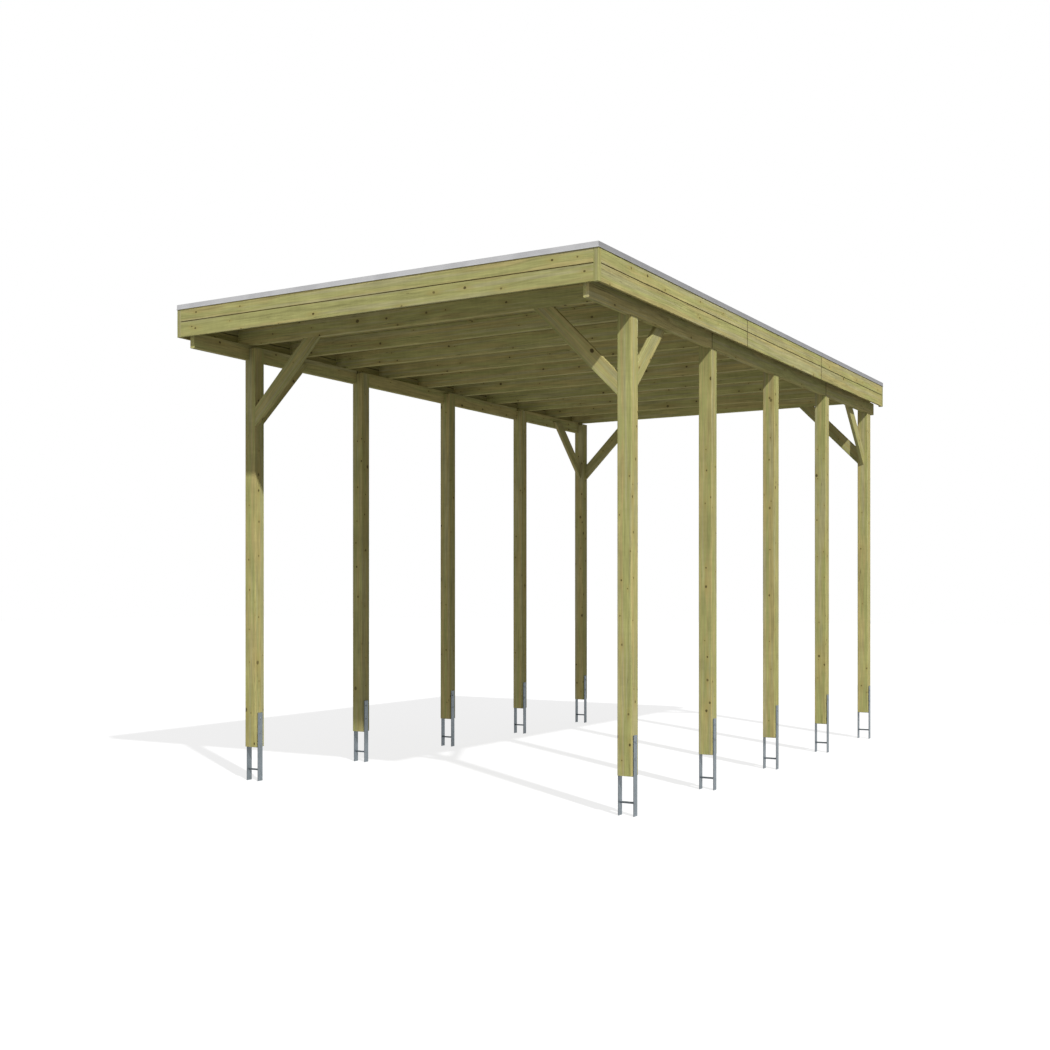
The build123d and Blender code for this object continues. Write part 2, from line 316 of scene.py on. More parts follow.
@dataclass(frozen=True)
class Timber:
    """Softwood with green pressure treatment, with rings, fibres, knots, and a painted highlight on its eased edges and
    cut ends.

    Members of one finish are told apart by cells of a grid across the grain and by joints along it,
    so that each is cut from a tree of its own. A tone or roughness is a factor and a start, a line
    is its half width and its darkness, and relief is a height in metres and the share that shows.
    """

    name: str
    grain: Grain
    origin: Pair = (-WIDE_CELL, -WIDE_CELL)
    pitch: Pair = (WIDE_CELL, WIDE_CELL)
    joints: tuple[float, ...] = ()
    seam: float | None = None
    pith_away: Pair = (0.11, 0.12)
    pith_spread: Pair = (0.08, 0.08)
    knots: tuple[Knots, ...] = FEW_KNOTS
    joint_line: Pair = (0.0105, 0.85)
    # the groove's dark line is partly dirt and partly painted shade
    seam_line: Pair = (0.0065, 0.72)
    line_core: float = 0.35
    green: Colour = (0.331, 0.324, 0.127)
    yellow: Colour = (0.372, 0.323, 0.134)
    grey: Colour = (0.352, 0.330, 0.170)
    halo: Colour = (0.345, 0.285, 0.096)
    heart: Colour = (0.066, 0.050, 0.020)
    halo_strength: float = 0.55
    check_strength: float = 0.55
    roughness: Pair = (0.16, 0.62)
    gloss: float = 0.0
    relief: Pair = (0.0004, 0.6)
    ring_height: float = 0.35
    fibre_height: float = 0.5
    check_depth: float = 1.4
    level: float = 1.0
    fibre_tone: Pair = (0.16, 0.92)
    ring_tone: Pair = (-0.12, 1.03)
    member_tone: Pair = (0.07, 0.965)
    # painted highlight: how much lighter the eased edges are drawn
    edge_tone: Pair = (0.04, 1.0)
    # painted highlight: cut ends are drawn lighter, as if the sun falls on them
    end_tone: float = 1.12
    end_from: float = 0.75
    # where the painted highlight on eased edges starts and where it is full, as the normal leans off the axes
    worn_from: Pair = (0.98, 0.86)
    knot_step: Pair = (5.0, 9.0)
    side_step: Pair = (0.37, 1.7)
    band_step: float = 40.0
    first_ring: float = 3.0
    rings: Pattern = Pattern(260.0, 1.0, between=(0.50, 0.68))
    bands: Pattern = Pattern(30.0, 2.0, 0.55)
    patches: Pattern = Pattern((22.0, 22.0, 2.2))
    patch_share: float = 0.5
    yellow_from: Pair = (0.40, 0.60)
    grey_streaks: Pattern = Pattern((34.0, 34.0, 0.7), 1.0, between=(0.50, 0.64), most=0.75)
    fibres: Pattern = Pattern((420.0, 420.0, 6.0), 2.0, 0.6)
    streaks: Pattern = Pattern((95.0, 95.0, 4.5), 3.0, 0.65, swing=0.90)
    clouds: Pattern = Pattern((13.0, 13.0, 2.6), 2.0, 0.6, swing=0.50)
    planer_marks: Pattern = Pattern((7.0, 7.0, 36.0), 1.0, swing=0.14)
    slow_bends: Pattern = Pattern((2.5, 2.5, 0.9), 1.0)
    bend: float = 0.03
    check_lines: Pattern = Pattern((70.0, 70.0, 0.9), 1.0)
    check_areas: Pattern = Pattern((11.0, 11.0, 0.8), 0.0, between=(0.60, 0.66))
    check_width: Pair = (0.012, 0.003)

    def build(self) -> Material:
        """Builds the material."""
        return TimberCoating(self).build()


class TimberCoating(Coating):
    """The nodes of one timber, with the place along, across and through its members."""

    def __init__(self, kind: Timber) -> None:
        """Starts the material and turns the place and the normal so that the grain is the third axis.

        Args:
            kind: the timber.
        """
        super().__init__(kind.name)
        self.kind = kind
        self.place = self.turned(self.place, "POINT")
        self.across, self.through, self.along = self.split(self.place)
        parts = self.split(self.turned(self.normal, "VECTOR"))
        self.leans = [self.math("ABSOLUTE", part) for part in parts]
        self.facing = self.math("GREATER_THAN", *self.leans[:2])
        self.side = self.math("SIGN", self.pick(self.facing, parts[1], parts[0]))
        self.end = self.math("GREATER_THAN", self.leans[2], kind.end_from)
        self.chance = self.cells()
        self.chances = self.split(self.chance)

    def turned(self, value: Socket, kind: str) -> Socket:
        """Turns a place or a normal with the grain.

        Args:
            value: what is turned.
            kind: the Mapping node's vector type.

        Returns:
            The turned vector.
        """
        node = self.add("Mapping", value, vector_type=kind)
        node.inputs["Rotation"].default_value = self.kind.grain.turn()
        return node.outputs[0]

    def cells(self) -> Socket:
        """Gives each member three chance numbers of its own.

        Returns:
            A vector of three numbers between 0 and 1.
        """
        numbers = [
            self.math("FLOOR", self.scaled(value, 1.0 / pitch, -origin / pitch))
            for value, origin, pitch in zip((self.across, self.through), self.kind.origin, self.kind.pitch)
        ]
        board = self.chain("ADD", 0.0, *(self.math("GREATER_THAN", self.along, joint) for joint in self.kind.joints))
        return self.add("TexWhiteNoise", self.join(*numbers, board), noise_dimensions="3D").outputs["Color"]

    def build(self) -> Material:
        """Paints the wood from its ground colour to the dark lines in its joints and the dirt and painted shade in its
        groove.

        Returns:
            The finished material.
        """
        kind = self.kind
        knots, halos, shift = self.all_knots()
        radius = self.ring_radius(shift)
        late = self.shown(kind.rings, self.math("ADD", radius, kind.first_ring))
        fibre = self.noise(kind.fibres)
        checks = self.checks()
        colour = self.shaded(self.ground(radius), self.tone(late, fibre))
        for amount, over in (
            (self.times(halos, kind.halo_strength), kind.halo),
            (self.times(checks, kind.check_strength), kind.heart),
            (knots, kind.heart),
            # dark joint lines, and dirt and painted shade in the groove
            (self.dirt(), kind.heart),
        ):
            colour = self.blend(amount, colour, over)
        self.set(Base_Color=colour, Roughness=self.scaled(fibre, *kind.roughness), Specular_IOR_Level=kind.gloss)
        height = self.scaled(late, kind.ring_height, self.times(fibre, kind.fibre_height))
        self.bump(self.math("SUBTRACT", height, self.times(checks, kind.check_depth)), *kind.relief)
        return self.material

    def ground(self, radius: Socket) -> Socket:
        """Mixes the wood's colours in bands that follow the rings, with greyer streaks.

        Args:
            radius: the distance from the pith.

        Returns:
            The colour below the knots.
        """
        kind = self.kind
        bands = self.noise(kind.bands, self.scaled(self.chances[2], kind.band_step, radius))
        patches = self.math("SUBTRACT", self.noise(kind.patches), 0.5)
        mixed = self.scaled(patches, kind.patch_share, bands)
        colour = self.blend(self.ease(mixed, *kind.yellow_from), kind.green, kind.yellow)
        return self.blend(self.shown(kind.grey_streaks), colour, kind.grey)

    def tone(self, late: Socket, fibre: Socket) -> Socket:
        """Works out how light the wood is at a point.

        Args:
            late: the dark part of the rings.
            fibre: the fine fibres.

        Returns:
            The tone, about 1.
        """
        kind = self.kind
        swing, start = kind.fibre_tone
        swings = [
            self.scaled(self.noise(pattern), pattern.swing, 1.0 - pattern.swing / 2)
            for pattern in (kind.streaks, kind.clouds, kind.planer_marks)
        ]
        # painted highlight: eased edges, whose normals lean off the faces' axes, are drawn lighter
        edge_highlight = self.ease(self.chain("MAXIMUM", *self.leans), *kind.worn_from)
        return self.times(
            self.scaled(fibre, swing, start * kind.level),
            *swings,
            self.scaled(late, *kind.ring_tone),
            self.scaled(self.chances[1], *kind.member_tone),
            # painted highlight on the cut ends
            self.pick(self.end, 1.0, kind.end_tone),
            self.scaled(edge_highlight, *kind.edge_tone),
        )

    def dirt(self) -> Feed:
        """Marks dark lines in the butt joints, and the dirt and painted shade in the groove between two boards.

        Returns:
            How dark the lines are, or 0 where there is neither.
        """
        kind = self.kind
        lines = [(self.along, joint, *kind.joint_line) for joint in kind.joints]
        if kind.seam is not None:
            lines.append((self.across, kind.seam, *kind.seam_line))
        return self.chain("MAXIMUM", 0.0, *(
            self.ease(self.gap(value, middle), reach, reach * kind.line_core, end=dark)
            for value, middle, reach, dark in lines
        ))

    def all_knots(self) -> tuple[Socket, Socket, Socket]:
        """Lays all kinds of knots on every face.

        Returns:
            The knots, their halos, and how far the rings are pushed aside.
        """
        kind = self.kind
        across = self.pick(self.facing, self.across, self.through)
        along = self.math("ADD", self.facing, self.scaled(self.chances[1], kind.knot_step[1], self.along))
        spot = self.join(
            self.scaled(self.side, kind.side_step[0], self.scaled(self.chances[0], kind.knot_step[0], across)),
            self.scaled(self.side, kind.side_step[1], along),
        )
        knots, halos, shifts = zip(*(self.knot_layer(spot, layer) for layer in kind.knots))
        return self.chain("MAXIMUM", *knots), self.chain("MAXIMUM", *halos), self.chain("ADD", *shifts)

    def knot_layer(self, spot: Socket, kind: Knots) -> tuple[Socket, Socket, Socket]:
        """Scatters the knots of one kind over a face.

        Args:
            spot: the place on the face, across and along the grain.
            kind: the knots.

        Returns:
            The knots, their halos, and how far the rings are pushed aside.
        """
        cells = self.vector("DIVIDE", spot, (*kind.cell, 1.0))
        points = self.scatter(cells, "2D", 1.0, kind.randomness)
        offset = self.vector("SUBTRACT", cells, points.outputs["Position"])
        offset = self.vector("MULTIPLY", offset, (*kind.cell, 0.0))
        chance, size, sound = self.split(points.outputs["Color"])
        there = self.math("LESS_THAN", chance, kind.share)
        radius = self.scaled(self.times(size, size), kind.more, kind.least)
        wobble = self.noise(kind.ragged, spot)
        reach, wide = (
            self.vector("LENGTH", self.vector("MULTIPLY", offset, (1.0, squash, 0.0)))
            for squash in (kind.squash, kind.halo_squash)
        )
        reach = self.math("SUBTRACT", self.math("DIVIDE", reach, radius), kind.raggedness / 2)
        depth = self.times(there, self.scaled(sound, kind.fading, kind.dark - kind.fading))
        knot = self.times(depth, self.ease(self.scaled(wobble, kind.raggedness, reach), *kind.rim))
        wide = self.math("DIVIDE", wide, self.times(radius, kind.halo_reach))
        halo = self.times(there, self.math("EXPONENT", self.times(wide, wide, -1.0)))
        return knot, halo, self.times(self.split(offset)[0], -kind.push, halo)

    def ring_radius(self, shift: Socket) -> Socket:
        """Gives the distance from the member's pith, which the growth rings follow.

        Args:
            shift: how far the knots push the rings aside.

        Returns:
            The distance in metres.
        """
        kind = self.kind
        bends = self.noise(kind.slow_bends, output="Color")
        moved = self.vector("ADD", self.place, self.spread(bends, (kind.bend, kind.bend, 0.0)))
        pushed = self.join(self.pick(self.facing, shift, 0.0), self.pick(self.facing, 0.0, shift))
        start = self.vector("SUBTRACT", self.vector("ADD", moved, pushed), (*kind.origin, 0.0))
        inside = self.vector("MODULO", start, (*kind.pitch, ENDLESS))
        middle = tuple(pitch / 2 + away for pitch, away in zip(kind.pitch, kind.pith_away))
        gap = self.vector("SUBTRACT", inside, (*middle, 0.0))
        gap = self.vector("SUBTRACT", gap, self.spread(self.chance, (*kind.pith_spread, 0.0)))
        return self.vector("LENGTH", self.vector("MULTIPLY", gap, (1.0, 1.0, 0.0)))

    def checks(self) -> Socket:
        """Draws the thin drying checks that follow the grain.

        Returns:
            1 in a check, 0 beside it and on the cut ends.
        """
        line = self.noise(self.kind.check_lines)
        area = self.shown(self.kind.check_areas)
        thin = self.ease(self.gap(line, 0.5), *self.kind.check_width)
        return self.times(thin, area, self.math("SUBTRACT", 1.0, self.end))


@dataclass(frozen=True)
class Galvanised:
    """Hot-dip galvanised steel with its zinc flowers and dull patches, and painted shade on the edges that face front
    and back.
    """

    name: str = "galvanised_steel"
    light: Colour = (0.275, 0.312, 0.340)
    dull: Colour = (0.195, 0.226, 0.238)
    metallic: float = 0.75
    roughness: Pair = (0.16, 0.42)
    # painted shade: how dark the faces that face front or back, the flats' thin edges, are drawn
    edge_tone: float = 0.45
    edge_from: Pair = (0.45, 0.85)
    flowers: float = 90.0
    flower_share: float = 0.45
    bends: Pattern = Pattern(55.0)
    bend: float = 0.012
    patches: Pattern = Pattern(7.0, 3.0, 0.6)
    patch_share: Pair = (1.3, -0.40)
    grain: Pattern = Pattern(420.0)
    flower_height: float = 0.4
    relief: Pair = (0.00025, 0.4)

    def build(self) -> Material:
        """Builds the material.

        Returns:
            The finished material.
        """
        graph = Coating(self.name)
        bends = graph.vector("MULTIPLY", graph.noise(self.bends, output="Color"), (self.bend,) * 3)
        flowers = graph.scatter(graph.vector("ADD", graph.place, bends), "3D", self.flowers, 1.0)
        tint, angle, _ = graph.split(flowers.outputs["Color"])
        # painted shade: faces that face front or back are darkened
        edge = graph.math("ABSOLUTE", graph.split(graph.normal)[1])
        edge = graph.ease(edge, *self.edge_from, 1.0, self.edge_tone)
        patches = graph.scaled(graph.noise(self.patches), *self.patch_share)
        colour = graph.blend(graph.scaled(tint, self.flower_share, patches, clamp=True), self.light, self.dull)
        graph.set(
            Base_Color=graph.shaded(colour, edge),
            Metallic=self.metallic,
            Roughness=graph.scaled(angle, *self.roughness),
        )
        grain = graph.noise(self.grain)
        graph.bump(graph.scaled(tint, self.flower_height, grain), *self.relief)
        return graph.material


@dataclass(frozen=True)
class MillAluminium:
    """Bent aluminium strip with a dull mill finish and fine lines along its length."""

    name: str = "edge_trim"
    halves: Pair = (1.991, 3.546)
    light: Colour = (0.53, 0.53, 0.535)
    dull: Colour = (0.42, 0.42, 0.425)
    speck: Colour = (0.25, 0.25, 0.26)
    metallic: float = 0.80
    roughness: Pair = (0.20, 0.34)
    lines_along: float = 1.5
    lines_across: float = 900.0
    lines: Pattern = Pattern(1.0, 2.0, 0.6)
    line_share: float = 0.35
    bloom: Pattern = Pattern(4.0, 3.0, 0.6, between=(0.40, 0.65), most=0.6)
    specks: Pattern = Pattern(160.0, 1.0, between=(0.66, 0.74))
    speck_share: float = 0.25
    relief: Pair = (0.00008, 0.5)

    def build(self) -> Material:
        """Builds the material.

        Returns:
            The finished material.
        """
        graph = Coating(self.name)
        x, y, z = graph.split(graph.place)
        past = [
            graph.math("SUBTRACT", graph.math("ABSOLUTE", value), half)
            for value, half in zip((x, y), self.halves)
        ]
        side = graph.math("GREATER_THAN", *past)
        strip = graph.join(
            graph.times(graph.pick(side, x, y), self.lines_along),
            graph.times(graph.pick(side, y, x), self.lines_across),
            graph.times(z, self.lines_across),
        )
        lines = graph.noise(self.lines, strip)
        mixed = graph.scaled(lines, self.line_share, graph.shown(self.bloom), clamp=True)
        colour = graph.blend(mixed, self.light, self.dull)
        specks = graph.times(graph.shown(self.specks), self.speck_share)
        graph.set(
            Base_Color=graph.blend(specks, colour, self.speck),
            Metallic=self.metallic,
            Roughness=graph.scaled(graph.noise(self.bloom), *self.roughness),
        )
        graph.bump(lines, *self.relief)
        return graph.material


@dataclass(frozen=True)
class RubberSheet:
    """Matt dark roof sheet with fine dust that gathers at the edges, and faint wrinkles."""

    name: str = "roof_membrane"
    clean: Colour = (0.046, 0.046, 0.049)
    dusty: Colour = (0.118, 0.115, 0.106)
    halves: Pair = (1.935, 3.490)
    roughness: Pair = (0.20, 0.64)
    gloss: float = 0.35
    rim_width: Pair = (0.30, 0.02)
    rim_dust: float = 0.22
    clouds: Pattern = Pattern(0.7, 3.0, 0.55, between=(0.36, 0.68), least=0.06, most=0.30)
    soft_clouds: Pattern = Pattern(9.0, 4.0, 0.65, between=(0.35, 0.75), most=0.16)
    specks: Pattern = Pattern(240.0, between=(0.56, 0.74), most=0.30)
    stretch: Triple = (1.0, 0.35, 1.0)
    folds: Pattern = Pattern(3.2)
    crease_width: float = 0.02
    weave: Pattern = Pattern(900.0, 1.0)
    weave_height: float = 0.35
    relief: Pair = (0.0009, 0.5)

    def build(self) -> Material:
        """Builds the material.

        Returns:
            The finished material.
        """
        graph = Coating(self.name)
        x, y, _ = graph.split(graph.place)
        rims = [
            graph.math("SUBTRACT", half, graph.math("ABSOLUTE", value))
            for value, half in zip((x, y), self.halves)
        ]
        rim = graph.ease(graph.math("MINIMUM", *rims), *self.rim_width, end=self.rim_dust)
        clouds, soft, specks = (graph.shown(kind) for kind in (self.clouds, self.soft_clouds, self.specks))
        dust = graph.math("ADD", clouds, graph.math("ADD", soft, specks))
        dust = graph.math("ADD", dust, rim, clamp=True)
        graph.set(
            Base_Color=graph.blend(dust, self.clean, self.dusty),
            Roughness=graph.scaled(dust, *self.roughness),
            Specular_IOR_Level=self.gloss,
        )
        folds = graph.noise(self.folds, graph.vector("MULTIPLY", graph.place, self.stretch))
        crease = graph.ease(graph.gap(folds, 0.5), self.crease_width, 0.0)
        weave = graph.noise(self.weave)
        graph.bump(graph.scaled(weave, self.weave_height, crease), *self.relief)
        return graph.material


@dataclass(frozen=True)
class ScrewSteel:
    """Plated screw steel with dull patches."""

    name: str
    light: Colour
    dull: Colour
    metallic: float
    roughness: Pair = (0.25, 0.35)
    patches: Pattern = Pattern(140.0, 3.0, 0.6, between=(0.40, 0.66))
    grain: Pattern = Pattern(900.0, 1.0)
    relief: Pair = (0.00008, 0.4)

    def build(self) -> Material:
        """Builds the material.

        Returns:
            The finished material.
        """
        graph = Coating(self.name)
        graph.set(
            Base_Color=graph.blend(graph.shown(self.patches), self.light, self.dull),
            Metallic=self.metallic,
            Roughness=graph.scaled(graph.noise(self.patches), *self.roughness),
        )
        graph.bump(graph.noise(self.grain), *self.relief)
        return graph.material


DULL_ZINC = ScrewSteel("screw_zinc", light=(0.28, 0.305, 0.32), dull=(0.165, 0.18, 0.19), metallic=0.7)
BROWNED_ZINC = ScrewSteel("screw_browned", light=(0.36, 0.33, 0.15), dull=(0.26, 0.235, 0.105), metallic=0.20)

Finish = Timber | Galvanised | MillAluminium | RubberSheet | ScrewSteel


@cache
def material_of(kind: Finish) -> Material:
    """Gives a finish's material, which is built once."""
    return kind.build()


def placed(name: str, data: bpy.types.ID) -> Piece:
    """Puts a mesh, a lamp or a camera into the scene.

    Args:
        name: the object's name.
        data: what it shows.

    Returns:
        The new object.
    """
    made = bpy.data.objects.new(name, data)
    bpy.context.scene.collection.objects.link(made)
    return made


@dataclass
class Workshop:
    """What every sub-assembly shares: the carport's loaded nodes."""

    nodes: dict[str, Piece]

    def dress(self, names: list[str], kind: Finish) -> None:
        """Gives carried-over pieces their finish.

        Args:
            names: the pieces' nodes.
            kind: the finish.
        """
        for name in names:
            mesh = self.nodes[name].data
            mesh.materials.clear()
            mesh.materials.append(material_of(kind))
            LOG.info("%s wears %s", name, kind.name)

    def piece(self, name: str, shape: Shape, kind: Finish, slot: str) -> Piece:
        """Makes a new piece of a finished shape and fixes it to the carport.

        Args:
            name: the piece's name.
            shape: its shape in place, which is freed.
            kind: its finish.
            slot: the record's material slot; not used.

        Returns:
            The new object.
        """
        mesh = bpy.data.meshes.new(name)
        bmesh.ops.recalc_face_normals(shape, faces=shape.faces)
        shape.to_mesh(mesh)
        shape.free()
        mesh.materials.append(material_of(kind))
        made = placed(name, mesh)
        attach(made, "root")
        LOG.info("%s has %d faces", name, len(mesh.polygons))
        return made


def out_of(surface: Triple | Vector, direction: Triple | Vector) -> Matrix:
    """Gives the matrix that stands a fastener on a surface, pointing the way out of it."""
    turn = Vector(direction).to_track_quat("Z", "Y").to_matrix().to_4x4()
    return Matrix.Translation(surface) @ turn


def repeated(master: Shape, places: list[Matrix]) -> Shape:
    """Repeats a fastener at its places.

    Args:
        master: the fastener's shape, standing on its origin.
        places: where it goes.

    Returns:
        One shape that holds them all. The master is in it no more.
    """
    first = list(master.verts) + list(master.edges) + list(master.faces)
    for place in places:
        copy = bmesh.ops.duplicate(master, geom=first)["geom"]
        bmesh.ops.transform(master, matrix=place, verts=[g for g in copy if isinstance(g, Corner)])
    bmesh.ops.delete(master, geom=[g for g in first if isinstance(g, Corner)], context="VERTS")
    return master


def block(shape: Shape, low: Vector, high: Vector) -> list[Corner]:
    """Adds a block between its lowest and its highest corner, and gives its corners."""
    place = Matrix.Translation((low + high) / 2) @ Matrix.Diagonal((*(high - low), 1.0))
    return bmesh.ops.create_cube(shape, size=1.0, matrix=place)["verts"]


def bevel(shape: Shape, corners: list[Corner], width: float, wanted: Callable[[Edge], bool]) -> None:
    """Bevels those edges between some corners that pass a test.

    Args:
        shape: the shape.
        corners: the corners.
        width: the bevel's width.
        wanted: the test.
    """
    edges = dict.fromkeys(edge for corner in corners for edge in corner.link_edges if wanted(edge))
    bmesh.ops.bevel(shape, geom=list(edges), offset=width, segments=1, profile=0.5, affect="EDGES", material=-1)


def above(level: float) -> Callable[[Edge], bool]:
    """Gives the test for edges that lie wholly above a level."""
    return lambda edge: all(corner.co.z > level for corner in edge.verts)


@dataclass
class CoachScrew:
    """A hexagon-head wood screw with its flange, in metres."""

    flange_radius: float = 0.0085
    flange_thickness: float = 0.0016
    flange_sides: int = 16
    flange_bevel: float = 0.0005
    across_flats: float = 0.013
    head_height: float = 0.0055
    head_bevel: float = 0.0013
    shank_radius: float = 0.0040
    shank_length: float = 0.0085
    shank_sides: int = 8

    def shape(self) -> Shape:
        """Builds the screw, standing out of the surface at its origin.

        Returns:
            Its shape.
        """
        shape = bmesh.new()
        self.drum(shape, self.flange_sides, self.flange_radius, 0.0, self.flange_thickness, self.flange_bevel)
        corner = self.across_flats / 2 / math.cos(math.pi / 6)
        self.drum(shape, 6, corner, self.flange_thickness, self.head_height, self.head_bevel)
        self.drum(shape, self.shank_sides, self.shank_radius, -self.shank_length, self.shank_length, 0.0)
        return shape

    def drum(self, shape: Shape, sides: int, radius: float, start: float, depth: float, rim: float) -> None:
        """Adds a drum with a bevelled outer rim.

        Args:
            shape: the shape that gets it.
            sides: how many sides it has.
            radius: its radius at the corners.
            start: its lower end.
            depth: its height.
            rim: the width of the rim's bevel, or 0 for none.
        """
        place = Matrix.Translation((0.0, 0.0, start + depth / 2))
        made = bmesh.ops.create_cone(
            shape, cap_ends=True, segments=sides, radius1=radius, radius2=radius, depth=depth, matrix=place,
        )["verts"]
        if rim:
            bevel(shape, made, rim, above(start + depth / 2))


@dataclass
class SunkScrew:
    """The head of a countersunk wood screw, driven flush, in metres."""

    head_radius: float = 0.0042
    taper: float = 0.9
    sides: int = 12
    proud: float = 0.0004
    recess_radius: float = 0.0020
    recess_depth: float = 0.0003

    def shape(self) -> Shape:
        """Builds the head, just proud of the surface at its origin.

        Returns:
            Its shape.
        """
        shape = bmesh.new()
        top_radius = self.head_radius * self.taper
        bmesh.ops.create_cone(
            shape, cap_ends=True, segments=self.sides, radius1=self.head_radius, radius2=top_radius,
            depth=2 * self.proud,
        )
        top = [f for f in shape.faces if f.calc_center_median().z > self.proud / 2]
        bmesh.ops.inset_region(shape, faces=top, thickness=top_radius - self.recess_radius)
        bmesh.ops.translate(shape, vec=(0.0, 0.0, -self.recess_depth), verts=list({v for f in top for v in f.verts}))
        return shape


@dataclass(frozen=True)
class Row:
    """Like members at one spacing along the carport, in metres."""

    first: float
    pitch: float
    count: int

    def middles(self) -> list[float]:
        """Gives the middle of each member."""
        return [self.first + number * self.pitch for number in range(self.count)]


POSTS = Row(first=-2.7675, pitch=1.525, count=5)
RAFTERS = Row(first=-2.8025, pitch=0.685556, count=10)


@dataclass
class TimberFrame:
    """The posts, purlins, rafters and braces."""

    workshop: Workshop
    posts: Row = POSTS
    rafters: Row = RAFTERS
    post_line: float = 1.8275
    purlin_joints: Pair = (-1.285, 1.765)
    purlin_face: float = 1.885
    purlin_screws_at: tuple[Pair, ...] = ((-0.028, 3.735), (0.028, 3.785))
    brace_width: float = 0.122
    brace_screw_inset: float = 0.075
    brace_screw_spread: float = 0.028
    brace_screw_slant: float = 1.4
    purlin_lap: float = 0.065

    def build(self) -> None:
        """Dresses the frame's members and adds their screws."""
        posts, rafters = self.posts, self.rafters
        across = rafters.first - (CELLS_BEFORE + 0.5) * rafters.pitch
        for mark, kind in (
            ("_post_", Timber(
                "post_timber", Grain.UPRIGHT,
                origin=(-2 * self.post_line, posts.first - posts.pitch / 2), pitch=(2 * self.post_line, posts.pitch),
                knots=MANY_KNOTS, green=(0.319, 0.317, 0.119), yellow=(0.378, 0.322, 0.133),
            )),
            ("_purlin_", Timber(
                "purlin_timber", Grain.LENGTHWISE, origin=(ROOF_CELL, -WIDE_CELL), joints=self.purlin_joints,
                # painted light: purlins are drawn lighter than the posts, to stand in for light lost in the roof's
                # shade
                level=1.16,
            )),
            ("rafter", Timber(
                "rafter_timber", Grain.ACROSS, origin=(across, ROOF_CELL), pitch=(rafters.pitch, WIDE_CELL),
                # painted light: rafters are drawn lighter still, for the light that does not reach under the roof
                level=1.22,
            )),
        ):
            self.workshop.dress([name for name in self.workshop.nodes if mark in name], kind)
        for mark, grain in (
            ("left_{}_cross", Grain.RISING_TO_RIGHT), ("right_{}_cross", Grain.RISING_TO_LEFT),
            ("{}_front_long", Grain.RISING_TO_REAR), ("{}_rear_long", Grain.RISING_TO_FRONT),
        ):
            ends = ("front", "rear") if "cross" in mark else ("left", "right")
            names = [mark.format(end) + "_brace" for end in ends]
            self.workshop.dress(names, Timber(f"brace_{grain.name.lower()}", grain))
        self.purlin_screws()
        self.brace_screws()

    def purlin_screws(self) -> None:
        """Adds the sunk screws that hold the purlins in the posts' notches."""
        places = [
            out_of((side * self.purlin_face, y + step, z), (side, 0, 0))
            for side in (-1, 1) for y in self.posts.middles() for step, z in self.purlin_screws_at
        ]
        shape = repeated(SunkScrew().shape(), places)
        self.workshop.piece("purlin_screws", shape, BROWNED_ZINC, "galvanised_steel")

    def brace_screws(self) -> None:
        """Adds two sunk screws at each end of every brace, in its broad outer or inner face."""
        places = []
        for name in self.workshop.nodes:
            if not name.endswith("_brace"):
                continue
            low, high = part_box(name)
            side = 1 if name.startswith("right") else -1
            end = 1 if "_rear_" in name else -1
            is_long = "_long_" in name
            axis, out_axis, post, out = (1, 0, end, -side) if is_long else (0, 1, side, end)
            way = Vector()
            way[out_axis] = out
            foot = low.z + self.brace_width * math.sqrt(0.5)
            for run, rise in self.brace_spots(high.z - foot, is_long):
                spot = Vector((0, 0, foot + rise))
                spot[axis] = (high if post > 0 else low)[axis] - post * run
                spot[out_axis] = (high if out > 0 else low)[out_axis]
                places.append(out_of(spot, way))
        shape = repeated(SunkScrew().shape(), places)
        self.workshop.piece("brace_screws", shape, BROWNED_ZINC, "galvanised_steel")

    def brace_spots(self, top: float, laps_purlin: bool) -> list[Pair]:
        """Gives the screws' places on a brace's face, which runs up at 45 degrees.

        Args:
            top: the height of the brace's head over the middle of its foot.
            laps_purlin: whether the head lies against a purlin.

        Returns:
            How far along and how far up from the middle of the foot each screw is.
        """
        steps = (-self.brace_screw_spread, self.brace_screw_spread)
        spots = [(self.brace_screw_inset - step, self.brace_screw_inset + step) for step in steps]
        if laps_purlin:
            height = top - self.purlin_lap / 2
            return spots + [(height + self.brace_screw_slant * step, height) for step in steps]
        height = top - self.brace_screw_inset
        return spots + [(height - step, height + step) for step in steps]


@dataclass
class Anchors:
    """The steel anchors under the posts and the screws in their flats."""

    workshop: Workshop
    posts: Row = POSTS
    outer_face: float = 1.893
    inner_face: float = 1.762
    hole_heights: Pair = (0.420, 0.548)

    def build(self) -> None:
        """Dresses the anchors and adds their coach screws."""
        for side, name in ((-1, "left"), (1, "right")):
            self.workshop.dress([f"{name}_row_anchors"], Galvanised())
            places = [
                out_of((side * face, y, z), (side * way, 0, 0))
                for y in self.posts.middles() for z in self.hole_heights
                for face, way in ((self.outer_face, 1), (self.inner_face, -1))
            ]
            shape = repeated(CoachScrew().shape(), places)
            self.workshop.piece(f"{name}_anchor_screws", shape, DULL_ZINC, "galvanised_steel")


